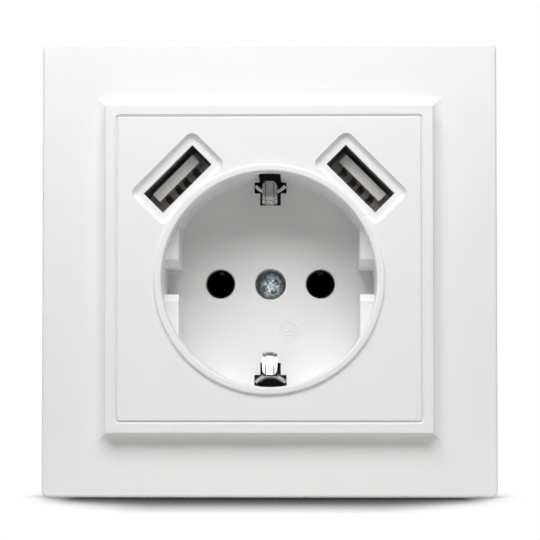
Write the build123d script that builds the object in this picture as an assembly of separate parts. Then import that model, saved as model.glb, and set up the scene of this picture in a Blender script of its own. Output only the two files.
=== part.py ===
from build123d import *

import os
from math import cos, hypot, radians, sin

# Flush wall socket with a round recessed pot, side earth contacts and two USB-A ports.
# X is to the right, Y points into the wall and Z is up. The origin is the middle of the wall's surface,
# so the cover stands at negative Y and the insert at positive Y. All sizes are in millimetres.

# Cover frame
frame_side = 83.0
frame_corner_r = 1.15
frame_edge_r = 0.6
frame_flat_h = 7.8
frame_border_h = 10.9
frame_wall = 2.0
cove_width = 2.05
border_width = 2.0
border_lip = 0.45
ledge_width = 1.8
ledge_thick = 1.2
frame_skirt_wall = 1.5
frame_rib = 1.2
frame_rib_offset = 17.0
frame_rib_gap = 1.0

# Centre plate
plate_inside_base = 0.81
plate_h = 10.9
plate_thick = 2.0
plate_corner_r = 0.5
plate_edge = 0.25
plate_skirt_wall = 1.5
plate_skirt_depth = 3.8
plate_gap = 0.02

# Pot
pot_r = 19.5
pot_wall = 1.2
pot_depth = 17.5
pot_floor = 2.0
pot_drop = 1.9
rim_width = 1.4
rim_proud = 0.6
rim_edge_r = 0.35
rail_depth = 2.9
rail_below_rim = 4.5
notch_width = 5.05
notch_lead = 1.3

# Pin holes and plate screw
pin_pitch = 19.0
pin_hole_d = 5.55
pin_hole_lead = 0.2
pin_len = 19.0
pin_tip_gap = 0.3
screw_bore_d = 5.9
screw_boss_wall = 1.4
screw_boss_floor = 1.2
screw_sink = 6.0
screw_head_d = 5.0
screw_head_h = 2.0
screw_head_edge = 0.5
screw_recess_len = 3.3
screw_recess_w = 0.85
screw_recess_depth = 1.0
screw_d = 3.0
screw_hole_d = 3.4
screw_past_bow = 2.5

# Slots of the earth contacts
earth_wall_slot = 4.1
earth_slot_below_rim = 3.9
earth_floor_wide = 6.1
earth_floor_narrow = 3.9
earth_wide_len = 2.35
earth_narrow_len = 4.65
earth_past_wall = 0.1

# Earth bow
bow_thick = 0.6
bow_width = 7.0
arm_width = 5.6
arm_wall_gap = 0.8
arm_arch = 1.35
arm_below_floor = 0.3
prong_width = 2.75
bead_width = 1.35
bead_height = 0.2
prong_bend_r = 1.4
crest_below_rim = 10.5
tip_below_rim = 8.2
crest_reach_top = 5.25
crest_reach_bottom = 7.0
tip_reach_top = 0.7
tip_reach_bottom = 2.0

# Sprung tubes behind the pin holes
tube_bore_r = 2.2
tube_wall = 0.7
tube_before_cage_end = 0.35
tube_slit = 1.0
tube_slit_len = 6.5
tube_flare = 0.4
tail_width = 4.6
tail_thick = 0.8

# USB ports
usb_past_rim = 3.8
usb_bearing = 47.8
usb_tilt = 45.0
usb_mouth_w = 12.5
usb_mouth_h = 5.0
pocket_w = 16.2
pocket_h = 8.7
pocket_corner_r = 1.45
pocket_depth = 1.0
pocket_floor_r = 0.9
shell_wall = 0.3
usb_board_lift = 0.65
tongue_w = 10.3
tongue_h = 1.84
tongue_shift = 0.75
tongue_behind_mouth = 2.8
tongue_root_len = 4.6
root_slot_w = 1.3
strip_w = 1.0
strip_t = 0.25
strip_behind_tip = 0.8
strip_at = (-3.5, -1.0, 1.0, 3.5)

# Support strap
strap_side = 71.0
strap_thick = 1.0
strap_corner = 9.0
strap_lug_half = 10.4
strap_lug_past_channel = 0.4
strap_opening_half_z = 26.5
box_screw_pitch = 60.0
box_hole_d = 4.0
corner_slot_len = 7.0
corner_slot_w = 2.6
corner_slot_at = 25.0
level_notch = 1.2

# Base and rear cover
base_wall = 1.2
base_port_gap = 0.25
base_depth = 22.0
deck_thick = 2.0
channel_pot_gap = 0.1
channel_half = 5.4
chord_z = 12.8
guard_thick = 1.2
guard_gap = 0.1
partition = 1.2
partition_x = 6.2
insulator_thick = 0.8
cover_roof_gap = 0.3
cover_wall = 1.2
cover_edge = 1.6
post_inset = 5.66
post_bearing = 39.65
post_r = 2.6
post_hole_d = 2.3
case_screw_d = 2.2
case_screw_head_d = 4.4
case_screw_head_h = 1.6
case_screw_head_edge = 0.5
case_recess_len = 2.6
case_recess_w = 0.7
case_recess_depth = 0.8
case_screw_len = 14.0
case_well_d = 5.0
case_well_wall = 1.0
case_seat_depth = 3.0

# Rivets of the strap
rivet_inset = 4.2
rivet_z = 8.2
rivet_d = 2.1
rivet_head_d = 3.2
rivet_head_h = 0.7
rivet_head_edge = 0.35
rivet_len = 5.0
rivet_post_r = 1.9

# Clamp cages for the wires
cage_w = 7.4
cage_len = 8.0
cage_h = 5.6
cage_window_w = 5.6
cage_window_h = 3.0
cage_roof = 1.0
cage_x = 13.0
clamp_screw_d = 3.0
clamp_head_d = 5.0
clamp_head_h = 1.5
clamp_slot_w = 0.9
clamp_slot_depth = 0.7

# Spreading claws
claw_thick = 1.2
claw_width = 9.0
claw_neck_width = 8.0
claw_ear_width = 10.4
claw_ear_gap = 0.25
claw_ear_h = 0.65
claw_bead_r = 0.8
claw_inset = 0.3
claw_len = 24.0
claw_tooth = 0.9
claw_teeth = 3
claw_tooth_len = 1.8
claw_tooth_pitch = 2.4
claw_tooth_step = 0.6
claw_bend_r = 0.6
claw_lever = 3.7
claw_screw_d = 3.0
claw_screw_head_d = 4.8
claw_screw_head_h = 1.6
claw_screw_head_edge = 0.5
claw_screw_slot_w = 0.9
claw_screw_slot_depth = 0.7
claw_screw_stand = 1.4
claw_screw_tail = 2.5
claw_screw_strap_hole_d = 4.0

# Boards and their components
board_thick = 1.6
board_edge_gap = 0.4
usb_board_pot_gap = 0.6
usb_board_post_inset = 4.0
usb_board_post_bearing = 64.5
usb_board_post_r = 1.5
link_pin = 0.64
link_pitch = 2.54
link_count = 5
link_inset = 5.19
supply_pin_d = 1.0
supply_drop = 8.0
core_w = 14.0
core_h = 12.0
core_thick = 5.0
core_leg = 1.8
core_middle = 4.0
core_lift = 2.0
core_z = 4.0
winding_h = 8.0
winding_tall = 8.2
winding_corner_r = 1.5
input_can_d = 8.0
input_can_len = 12.0
input_can_x = 9.0
input_can_z = -6.8
output_can_d = 6.3
output_can_h = 8.0
output_can_x = 4.5
output_can_z = 17.5
can_groove = 0.3
can_groove_w = 1.6
can_groove_at = 3.0
can_edge = 0.3
disc_d = 7.5
disc_t = 3.6
disc_edge = 1.2
disc_x = 13.0
disc_z = 4.0
chip_w = 4.9
chip_h = 3.9
chip_t = 1.5
chip_x = -13.5
chip_z = 4.0
bridge_side = 6.0
bridge_t = 2.4
bridge_x = -14.0
bridge_z = -7.0
fuse_d = 3.2
fuse_len = 8.5
fuse_edge = 0.8
fuse_x = -4.5
fuse_z = -9.5
choke_d = 6.0
choke_h = 7.5
choke_waist_d = 4.2
choke_flange = 1.4
choke_well_gap = 0.1
choke_z = 13.2

# Clearances
clear = 0.3
snug = 0.05

# Depths along Y that several pieces share
plate_y = -plate_h
rim_y = plate_y - rim_proud
floor_y = rim_y + pot_depth
floor_back_y = floor_y + pot_floor
pot_out_r = pot_r + pot_wall
plate_back_y = plate_y + plate_thick
skirt_end_y = plate_y + plate_skirt_depth
deck_y = floor_back_y
deck_back_y = deck_y + deck_thick
cage_end_y = deck_back_y + cage_len
screw_seat_y = floor_y + screw_sink + screw_head_h
boss_end_y = screw_seat_y + screw_boss_floor
bow_y = boss_end_y + snug
bow_back_y = bow_y + bow_thick
usb_mouth_y = plate_back_y + snug
usb_board_back_y = deck_y - usb_board_lift
usb_board_y = usb_board_back_y - board_thick
tube_y = deck_y + snug
tube_end_y = cage_end_y - tube_before_cage_end
insulator_y = floor_y + pin_len + pin_tip_gap
body_depth = insulator_y + insulator_thick
charger_y = body_depth + clear
charger_back_y = charger_y + board_thick
tallest = max(winding_tall, input_can_d, output_can_h, disc_d, choke_h)
cover_depth = charger_back_y + tallest + cover_roof_gap + cover_wall
screw_head_y = -strap_thick - claw_screw_stand

# Radii and places round the pot's axis that several pieces share
rim_r = pot_r + rim_width
rail_half = pot_r - rail_depth
earth_slot_out_r = pot_r + earth_past_wall
arm_edge_r = pot_r - arm_wall_gap
arm_mid_r = arm_edge_r - arm_arch
usb_r = rim_r + usb_past_rim
usb_x = usb_r * cos(radians(usb_bearing))
usb_z = usb_r * sin(radians(usb_bearing)) - pot_drop

# The base is just wide enough for the ports, and the claws and rivets stand at its edge
port_half_w = usb_mouth_w / 2 + shell_wall
port_half_h = usb_mouth_h / 2 + shell_wall
base_r = hypot(hypot(usb_x, usb_z) + port_half_h, port_half_w) + base_port_gap + base_wall
channel_x = pot_out_r + channel_pot_gap + base_wall
strap_lug_x = channel_x - strap_lug_past_channel
claw_pivot_x = base_r - claw_inset
claw_screw_x = claw_pivot_x - claw_lever
rivet_x = base_r - rivet_inset
post_x = (base_r - post_inset) * cos(radians(post_bearing))
post_z = (base_r - post_inset) * sin(radians(post_bearing))
choke_x = case_well_d / 2 + case_well_wall + choke_d / 2 + choke_well_gap - post_x
link_z = base_r - link_inset
usb_board_post_x = (base_r - usb_board_post_inset) * cos(radians(usb_board_post_bearing))
usb_board_post_z = (base_r - usb_board_post_inset) * sin(radians(usb_board_post_bearing))

# The plate hides the base, and the frame's border and cove surround the plate
plate_side = 2 * (base_r - plate_inside_base)
border_side = plate_side + 2 * border_width
cove_foot_side = border_side + 2 * cove_width

# Heights along Z that several pieces share
cage_side_top_z = -chord_z - base_wall - clear
cage_earth_top_z = -pot_drop - arm_edge_r - bow_thick / 2
usb_board_from_z = rivet_z + rivet_post_r + 2 * clear


def plane_at(y):
    """Sketch plane at depth y that faces the front: its x is X and its y is Z."""
    return Plane(origin=(0, y, 0), x_dir=(1, 0, 0), z_dir=(0, -1, 0))


def slab(sketch, front, back):
    """Solid of this outline between two depths."""
    return extrude(plane_at(back) * sketch, back - front)


def square_ring(outer, inner):
    return Rectangle(outer, outer) - Rectangle(inner, inner)


def at_pot(sketch):
    """Moves an outline drawn round the pot's axis to its place."""
    return Pos(0, -pot_drop) * sketch


def at_usb(side, sketch):
    """Moves an outline drawn round a port's middle to its place, with its y away from the pot."""
    return Pos(side * usb_x, usb_z) * Rot(0, 0, -side * usb_tilt) * sketch


def both_sides(shape):
    return shape + mirror(shape, about=Plane.YZ)


def upright_bar(x, y, radius, bottom, top):
    """Round bar along Z."""
    return Pos(x, y, (bottom + top) / 2) * Cylinder(radius, top - bottom)


def case_outline(inset):
    """Outline of the round insert with the two claw channels, moved inwards by an inset."""
    reach = base_r - channel_x + inset
    channel = Rectangle(2 * reach, 2 * (channel_half + inset))
    outline = Circle(base_r - inset)
    for side in (-1, 1):
        outline -= Pos(side * (channel_x - inset + reach), 0) * channel
    return outline


def above(sketch, z):
    """The part of an outline that lies higher than z."""
    size = 4 * base_r
    return sketch & Pos(0, z + size / 2) * Rectangle(size, size)


def below(sketch, z):
    """The part of an outline that lies lower than z."""
    size = 4 * base_r
    return sketch & Pos(0, z - size / 2) * Rectangle(size, size)


def cover_outline(inset):
    """Outline of the charger's room: the insert above the terminals."""
    return above(case_outline(inset), -chord_z - base_wall + inset)


def make_cover_frame():
    half = frame_side / 2
    foot = cove_foot_side / 2
    border = border_side / 2
    edge = Polyline((0, 0), (half, 0), (half, frame_flat_h), (foot, frame_flat_h))
    cove_top = frame_flat_h + cove_width
    edge += TangentArc((foot, frame_flat_h), (border, cove_top), tangent=(-1, 0))
    edge += Polyline((border, cove_top), (border, frame_border_h), (0, frame_border_h), (0, 0))
    section = both_sides(make_face(edge))
    # two crossed prisms leave the cove with mitred corners
    prism = extrude(Plane(origin=(0, 0, half), x_dir=(1, 0, 0), z_dir=(0, 0, -1)) * section, frame_side)
    frame = prism & Rot(0, 90, 0) * prism
    frame &= slab(RectangleRounded(frame_side, frame_side, frame_corner_r), -frame_border_h, 0)
    outer = [
        e
        for e in frame.edges().filter_by_position(Axis.Y, -frame_flat_h - snug, -frame_flat_h + snug)
        if max(abs(e.center().X), abs(e.center().Z)) > (half + foot) / 2
    ]
    frame = fillet(outer, frame_edge_r)

    opening = plate_side + 2 * plate_gap
    skirt = opening + 2 * frame_skirt_wall
    ledge_back = skirt_end_y + ledge_thick
    mouth = RectangleRounded(opening, opening, plate_corner_r)
    frame -= slab(mouth, -frame_border_h, skirt_end_y)
    lip_y = -frame_border_h + border_lip
    frame -= loft([plane_at(-frame_border_h) * offset(mouth, border_lip), plane_at(lip_y) * mouth])
    frame -= slab(Rectangle(opening - 2 * ledge_width, opening - 2 * ledge_width), skirt_end_y, ledge_back)
    frame -= slab(Rectangle(opening, opening), ledge_back, 0)
    hollow_y = -frame_flat_h + frame_wall
    frame -= slab(square_ring(frame_side - 2 * frame_wall, skirt), hollow_y, 0)
    frame -= slab(Rectangle(skirt + clear, skirt + clear), -strap_thick, 0)
    # room for the claws' ears in the left and right skirts
    frame -= slab(Rectangle(skirt + clear, claw_ear_width + 4 * clear), screw_head_y - clear, 0)

    reach = half - frame_wall - skirt / 2
    rib = Pos(skirt / 2 + reach / 2, frame_rib_offset) * Rectangle(reach, frame_rib)
    rib = slab(rib, hollow_y, -strap_thick - frame_rib_gap)
    for turn in range(4):
        frame += Rot(0, 90 * turn, 0) * (rib + mirror(rib, about=Plane.XY))
    return frame


def make_pockets_and_rim(plate):
    """Sinks the two USB pockets, then stands the rim in front of them."""
    for side in (-1, 1):
        mouth = RectangleRounded(pocket_w, pocket_h, pocket_corner_r)
        pocket = slab(at_usb(side, mouth), plate_y, plate_y + pocket_depth)
        plate -= fillet(pocket.faces().sort_by(Axis.Y)[-1].edges(), pocket_floor_r)
        plate -= slab(at_usb(side, Rectangle(usb_mouth_w, usb_mouth_h)), plate_y, plate_back_y)
    rim = slab(at_pot(Circle(rim_r)), rim_y, plate_back_y)
    rim -= slab(at_pot(Circle(pot_r)), rim_y, plate_back_y)
    rim = fillet(rim.edges().filter_by(GeomType.CIRCLE).group_by(Axis.Y)[0], rim_edge_r)
    return plate + rim


def make_rails():
    """Flat rails at the two sides of the pot, each broken by a notch with sloping lead-ins."""
    ledge_y = rim_y + rail_below_rim
    keep = Rectangle(2 * rail_half, 2 * pot_r)
    rails = slab(at_pot(Circle(pot_r) - keep), ledge_y, floor_y)
    half = notch_width / 2
    lead = half + notch_lead
    notch = Polyline(
        (ledge_y, -lead), (ledge_y, lead), (ledge_y + notch_lead, half), (floor_y, half),
        (floor_y, -half), (ledge_y + notch_lead, -half), close=True,
    )
    return rails - Pos(0, 0, -pot_drop) * extrude(Plane.YZ * make_face(notch), pot_r, both=True)


def earth_floor_slot(side):
    """Opening of one earth contact in the pot's floor, wide at the wall and narrow towards the middle."""
    wide = Rectangle(earth_floor_wide, earth_wide_len)
    narrow = Rectangle(earth_floor_narrow, earth_narrow_len)
    slot = Pos(0, side * (earth_slot_out_r - earth_wide_len / 2)) * wide
    slot += Pos(0, side * (earth_slot_out_r - earth_narrow_len / 2)) * narrow
    return at_pot(slot)


def make_centre_plate():
    plate = slab(RectangleRounded(plate_side, plate_side, plate_corner_r), plate_y, skirt_end_y)
    front = plate.faces().sort_by(Axis.Y)[0]
    plate = chamfer(front.edges(), plate_edge)
    inside = plate_side - 2 * plate_skirt_wall
    plate -= slab(Rectangle(inside, inside), plate_back_y, skirt_end_y)
    plate = make_pockets_and_rim(plate)
    plate += slab(at_pot(Circle(pot_out_r)), plate_back_y, floor_back_y)
    plate -= slab(at_pot(Circle(pot_r)), rim_y, floor_y)
    plate += make_rails()

    boss_r = screw_bore_d / 2 + screw_boss_wall
    plate += slab(at_pot(Circle(boss_r)), floor_back_y, boss_end_y)
    plate -= slab(at_pot(Circle(screw_bore_d / 2)), floor_y, screw_seat_y)
    plate -= slab(at_pot(Circle(screw_hole_d / 2)), screw_seat_y, boss_end_y)
    for side in (-1, 1):
        pin_hole = at_pot(Pos(side * pin_pitch / 2, 0) * Circle(pin_hole_d / 2))
        plate -= slab(pin_hole, floor_y, floor_back_y)
        lead_y = floor_y + pin_hole_lead
        plate -= loft([plane_at(floor_y) * offset(pin_hole, pin_hole_lead), plane_at(lead_y) * pin_hole])
        plate -= slab(earth_floor_slot(side), floor_y, floor_back_y)
        wall_cut = Pos(0, side * (pot_r + pot_wall / 2)) * Rectangle(earth_wall_slot, pot_wall + 2 * clear)
        plate -= slab(at_pot(wall_cut), rim_y + earth_slot_below_rim, floor_back_y)
    return plate


def make_plate_screw():
    head_y = floor_y + screw_sink
    head = slab(Circle(screw_head_d / 2), head_y, screw_seat_y)
    shank = slab(Circle(screw_d / 2), screw_seat_y, bow_back_y + screw_past_bow)
    arm = Rectangle(screw_recess_len, screw_recess_w)
    cross = slab(arm + Rot(0, 0, 90) * arm, head_y, head_y + screw_recess_depth)
    front = head.edges().group_by(Axis.Y)[0]
    return Pos(0, 0, -pot_drop) * (chamfer(front, screw_head_edge) - cross + shank)


def make_earth_prong(crest_reach, tip_reach):
    """Sprung prong of the upper contact, drawn round the pot's axis: arm, crest and outward tip."""
    start_y = floor_y + arm_below_floor + bow_thick
    tip_r = pot_r - tip_reach
    path = Plane.YZ * FilletPolyline(
        (start_y, arm_mid_r),
        (floor_y - 2 * bow_thick, arm_mid_r - bow_thick),
        (rim_y + crest_below_rim, pot_r - crest_reach + bow_thick / 2),
        (rim_y + tip_below_rim, tip_r),
        radius=prong_bend_r,
    )
    # flat strip with a pressed bead on the side towards the plug
    half = prong_width / 2
    flank = bead_width / 2 + bead_height
    face = -bow_thick / 2
    section = Polyline(
        (-half, -face), (-half, face), (-flank, face), (-bead_width / 2, face - bead_height),
        (bead_width / 2, face - bead_height), (flank, face), (half, face), (half, -face), close=True,
    )
    across = Plane(origin=path @ 0, x_dir=(1, 0, 0), z_dir=path % 0)
    prong = sweep(across * make_face(section), path)
    corners = Pos(0, tip_r) * Rectangle(2 * prong_width, prong_width) - Pos(0, tip_r - half) * Circle(half)
    return prong - slab(corners, rim_y, rim_y + crest_below_rim)


def arm_section(side, grow):
    """Arched section of one arm of the earth bow, drawn round the pot's axis."""
    edge = (arm_width / 2, side * arm_edge_r)
    arch = ThreePointArc((-edge[0], edge[1]), (0, side * arm_mid_r), edge)
    section = trace(arch, bow_thick + 2 * grow)
    if grow:
        section += both_sides(Pos(*edge) * Circle(bow_thick / 2 + grow))
    return section


def make_earth_bow():
    arm = slab(arm_section(1, 0), floor_y + arm_below_floor, bow_back_y)
    bow = slab(Rectangle(bow_width, 2 * arm_edge_r), bow_y, bow_back_y)
    bow -= slab(Circle(screw_d / 2 + snug), bow_y, bow_back_y)
    bow += arm + make_earth_prong(crest_reach_top, tip_reach_top)
    bow += mirror(arm + make_earth_prong(crest_reach_bottom, tip_reach_bottom), about=Plane.XY)
    return Pos(0, 0, -pot_drop) * bow


def make_contact():
    """Right-hand sprung tube with its slit jaws and the tail down to the clamp cage."""
    middle = Pos(pin_pitch / 2, -pot_drop)
    outer_r = tube_bore_r + tube_wall
    tube = slab(middle * Circle(outer_r), tube_y, tube_end_y)
    bore = slab(middle * Circle(tube_bore_r), tube_y, tube_end_y)
    flare = loft([plane_at(tube_y) * middle * Circle(tube_bore_r + tube_flare),
                  plane_at(tube_y + tube_slit_len / 2) * middle * Circle(tube_bore_r)])
    slit = slab(middle * Rectangle(tube_slit, 2 * (outer_r + clear)), tube_y, tube_y + tube_slit_len)
    tail_top = -pot_drop - tube_bore_r - tube_wall / 2
    tail_len = tail_top - cage_side_top_z
    tail = Pos(pin_pitch / 2, cage_side_top_z + tail_len / 2) * Rectangle(tail_width, tail_len)
    return tube - bore - flare - slit + slab(tail, tube_end_y - tail_thick, tube_end_y)


def make_cage(x, top_z):
    """Clamp cage: a block with a window for the wires and a hole for its screw from below."""
    middle_y = deck_back_y + cage_len / 2
    block = slab(Pos(x, top_z - cage_h / 2) * Rectangle(cage_w, cage_h), deck_back_y, cage_end_y)
    window_z = top_z - cage_roof - cage_window_h / 2
    window = slab(Pos(x, window_z) * Rectangle(cage_window_w, cage_window_h), deck_back_y, cage_end_y)
    hole = upright_bar(x, middle_y, clamp_screw_d / 2 + snug, top_z - cage_h, window_z)
    return block - window - hole


def make_clamp_screw(x, top_z):
    middle_y = deck_back_y + cage_len / 2
    bottom = top_z - cage_h
    window_floor = top_z - cage_roof - cage_window_h
    shank = upright_bar(x, middle_y, clamp_screw_d / 2, bottom, window_floor)
    head = upright_bar(x, middle_y, clamp_head_d / 2, bottom - clamp_head_h, bottom)
    slot = Pos(x, middle_y, bottom - clamp_head_h + clamp_slot_depth / 2)
    slot *= Box(clamp_head_d, clamp_slot_w, clamp_slot_depth)
    return shank + head - slot


def cage_places():
    return {
        "left": (-cage_x, cage_side_top_z),
        "earth": (0, cage_earth_top_z),
        "right": (cage_x, cage_side_top_z),
    }


def make_usb_shell(side):
    outer = Rectangle(usb_mouth_w + 2 * shell_wall, usb_mouth_h + 2 * shell_wall)
    shell = slab(at_usb(side, outer), usb_mouth_y, usb_board_y)
    inner = at_usb(side, Rectangle(usb_mouth_w, usb_mouth_h))
    return shell - slab(inner, usb_mouth_y, usb_board_y - shell_wall)


def make_usb_tongue(side):
    root_y = usb_board_y - shell_wall - tongue_root_len
    root = at_usb(side, Rectangle(usb_mouth_w - 2 * snug, usb_mouth_h - 2 * snug))
    root = slab(root, root_y, usb_board_y - shell_wall)
    blade = at_usb(side, Pos(0, tongue_shift) * Rectangle(tongue_w, tongue_h))
    tongue = root + slab(blade, usb_mouth_y + tongue_behind_mouth, root_y)
    # each contact strip runs back through a slot below the blade
    slot_top = tongue_shift - tongue_h / 2
    slot_h = slot_top + usb_mouth_h / 2
    for x in strip_at:
        slot = at_usb(side, Pos(x, slot_top - slot_h / 2) * Rectangle(root_slot_w, slot_h))
        tongue -= slab(slot, root_y, usb_board_y - shell_wall)
    return tongue


def make_usb_contacts(side):
    front = usb_mouth_y + tongue_behind_mouth + strip_behind_tip
    back = usb_board_y - shell_wall
    height = tongue_shift - tongue_h / 2 - strip_t / 2
    strip = Rectangle(strip_w, strip_t)
    return Compound(children=[slab(at_usb(side, Pos(x, height) * strip), front, back) for x in strip_at])


def make_support_strap():
    side = strap_side
    outline = chamfer(Rectangle(side, side).vertices(), strap_corner)
    opening = Circle(base_r - base_wall) & Rectangle(side, 2 * strap_opening_half_z)
    lug_len = side / 2 - strap_lug_x
    for s in (-1, 1):
        opening -= Pos(s * (strap_lug_x + lug_len / 2), 0) * Rectangle(lug_len, 2 * strap_lug_half)
    outline -= opening
    for s in (-1, 1):
        outline -= Pos(0, s * box_screw_pitch / 2) * Circle(box_hole_d / 2)
        outline -= Pos(s * claw_pivot_x, 0) * Rectangle(claw_thick + 2 * clear, claw_neck_width + 2 * clear)
        outline -= Pos(s * claw_screw_x, 0) * Circle(claw_screw_strap_hole_d / 2)
        level = Rot(0, 0, 45) * Rectangle(level_notch, level_notch)
        outline -= Pos(s * side / 2, 0) * level
        outline -= Pos(0, s * side / 2) * level
        for t in (-1, 1):
            outline -= Pos(s * rivet_x, t * rivet_z) * Circle(rivet_d / 2 + snug)
            slot = Rot(0, 0, -45 * s * t) * SlotOverall(corner_slot_len, corner_slot_w)
            outline -= Pos(s * corner_slot_at, t * corner_slot_at) * slot
    return slab(outline, -strap_thick, 0)


def make_rivets():
    rivets = []
    for s in (-1, 1):
        for t in (-1, 1):
            place = Pos(s * rivet_x, t * rivet_z)
            head = slab(place * Circle(rivet_head_d / 2), -strap_thick - rivet_head_h, -strap_thick)
            head = chamfer(head.edges().group_by(Axis.Y)[0], rivet_head_edge)
            rivets.append(head + slab(place * Circle(rivet_d / 2), -strap_thick, rivet_len))
    return Compound(children=rivets)


def guard_outline(side, grow):
    """Section of the wall that closes the pot's wall slot from behind."""
    guard = Rectangle(earth_wall_slot + 2 * guard_thick + 2 * grow, guard_thick + 2 * grow)
    return at_pot(Pos(0, side * (pot_out_r + guard_gap + guard_thick / 2)) * guard)


def make_base_posts():
    """Posts for rivets and case screws, rests for the USB board, guards at the pot and ribs at the bow."""
    posts = Part()
    for s in (-1, 1):
        for t in (-1, 1):
            posts += slab(Pos(s * rivet_x, t * rivet_z) * Circle(rivet_post_r), 0, deck_y)
        posts += slab(Pos(s * post_x, post_z) * Circle(post_r), deck_back_y, charger_y)
        rest = Pos(s * usb_board_post_x, usb_board_post_z) * Circle(usb_board_post_r)
        posts += slab(rest, usb_board_back_y, deck_y)
        wall = below(Pos(s * partition_x, 0) * Rectangle(partition, 2 * base_r), -chord_z)
        posts += slab(wall, deck_back_y, base_depth)
    for t in (-1, 1):
        posts += slab(guard_outline(t, 0), plate_back_y + clear, deck_y)
        rib = Pos(0, -pot_drop + t * arm_mid_r / 2) * Rectangle(bow_width, partition)
        posts += slab(rib, deck_back_y, bow_y)
    return posts


def make_socket_base():
    ring = case_outline(0) - case_outline(base_wall)
    base = slab(ring, 0, base_depth)
    base += slab(case_outline(0), deck_y, deck_back_y)
    terminal_room = below(case_outline(0), -chord_z)
    base += slab(terminal_room, base_depth - base_wall, base_depth)
    # the part above the terminals reaches further back, past the tips of the plug's pins
    base += slab(cover_outline(0) - cover_outline(base_wall), deck_back_y, body_depth)
    base += make_base_posts() & slab(case_outline(0), plate_back_y, charger_y)

    base -= slab(at_pot(Circle(screw_bore_d / 2 + screw_boss_wall + clear)), deck_y, deck_back_y)
    base -= slab(Pos(0, link_z) * Rectangle(link_count * link_pitch, link_pitch), deck_y, deck_back_y)
    chord_wall = base_wall + 2 * clear
    chord_middle_z = -chord_z - base_wall / 2
    for s in (-1, 1):
        tube_hole = Circle(tube_bore_r + tube_wall + snug)
        base -= slab(at_pot(Pos(s * pin_pitch / 2, 0) * tube_hole), deck_y, deck_back_y)
        base -= slab(at_pot(arm_section(s, clear)), deck_y, deck_back_y)
        tail = Pos(s * pin_pitch / 2, chord_middle_z) * Rectangle(tail_width + 2 * clear, chord_wall)
        base -= slab(tail, tube_end_y - tail_thick - clear, tube_end_y + clear)
        base -= slab(Pos(s * post_x, post_z) * Circle(post_hole_d / 2), deck_back_y, charger_y)
        for t in (-1, 1):
            base -= slab(Pos(s * rivet_x, t * rivet_z) * Circle(rivet_d / 2 + snug), 0, rivet_len + clear)
    strip = Pos(0, chord_middle_z) * Rectangle(bow_width + 2 * clear, chord_wall)
    base -= slab(strip, bow_y - clear, bow_back_y + clear)
    for x, top_z in cage_places().values():
        room = Pos(x, top_z - cage_h / 2) * Rectangle(cage_w + 2 * clear, cage_h + 2 * clear)
        base -= slab(room, deck_back_y, cage_end_y + clear)
        window = Pos(x, top_z - cage_roof - cage_window_h / 2) * Rectangle(cage_window_w, cage_window_h)
        base -= slab(window, deck_back_y, base_depth)
        middle_y = deck_back_y + cage_len / 2
        base -= upright_bar(x, middle_y, clamp_head_d / 2 + clear, -base_r - clear, top_z - cage_h)
    return base


def make_rear_cover():
    cover = slab(cover_outline(0), body_depth, cover_depth)
    cover = chamfer(cover.edges().group_by(Axis.Y)[-1], cover_edge)
    cover -= slab(cover_outline(cover_wall), body_depth, cover_depth - cover_wall)
    well_r = case_well_d / 2
    seat = charger_back_y + case_seat_depth
    for s in (-1, 1):
        place = Pos(s * post_x, post_z)
        cover += slab(place * Circle(well_r + case_well_wall), charger_back_y, cover_depth - cover_wall)
        cover -= slab(place * Circle(well_r), seat, cover_depth)
        cover -= slab(place * Circle(case_screw_d / 2 + clear), charger_back_y, seat)
    return cover


def make_housing_screws():
    seat = charger_back_y + case_seat_depth
    screws = []
    for s in (-1, 1):
        place = Pos(s * post_x, post_z)
        head = slab(place * Circle(case_screw_head_d / 2), seat, seat + case_screw_head_h)
        head = chamfer(head.edges().group_by(Axis.Y)[-1], case_screw_head_edge)
        arm = Rectangle(case_recess_len, case_recess_w)
        head_back = seat + case_screw_head_h
        cross = slab(place * (arm + Rot(0, 0, 90) * arm), head_back - case_recess_depth, head_back)
        screws.append(head - cross + slab(place * Circle(case_screw_d / 2), seat - case_screw_len, seat))
    return Compound(children=screws)


def make_claw():
    """Right-hand claw: ears in front of the strap, a leg with teeth behind it and a threaded foot."""
    inner = claw_pivot_x - claw_thick / 2
    outer = claw_pivot_x + claw_thick / 2
    ear_y = -strap_thick - claw_ear_gap
    leg = slab(Pos(claw_pivot_x, 0) * Rectangle(claw_thick, claw_width), clear, claw_len)
    neck = slab(Pos(claw_pivot_x, 0) * Rectangle(claw_thick, claw_neck_width), ear_y, clear)
    ears = slab(Pos(claw_pivot_x, 0) * Rectangle(claw_thick, claw_ear_width), ear_y - claw_ear_h, ear_y)
    foot_from = channel_x + clear
    foot = Pos((foot_from + outer) / 2, 0) * Rectangle(outer - foot_from, claw_width)
    foot = slab(foot, claw_len - claw_thick, claw_len)
    # the bead rocks in the strap's slot
    bead = upright_bar(claw_pivot_x, -strap_thick / 2, claw_bead_r, -claw_neck_width / 2, claw_neck_width / 2)
    claw = leg + neck + bead + ears + foot
    for n in range(claw_teeth):
        back = claw_len - n * claw_tooth_pitch
        front = back - claw_tooth_len
        tooth = Polyline((outer, back), (outer + claw_tooth, back), (outer, front), close=True)
        claw += extrude(make_face(tooth), claw_width / 2 - n * claw_tooth_step, both=True)
    hole = slab(Pos(claw_screw_x, 0) * Circle(claw_screw_d / 2 + clear), claw_len - claw_thick, claw_len)
    bend = [e for e in claw.edges().filter_by(Axis.Z) if abs(e.center().X - inner) < snug
            and abs(e.center().Y - claw_len + claw_thick) < snug]
    return fillet(bend, claw_bend_r) - hole


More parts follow.
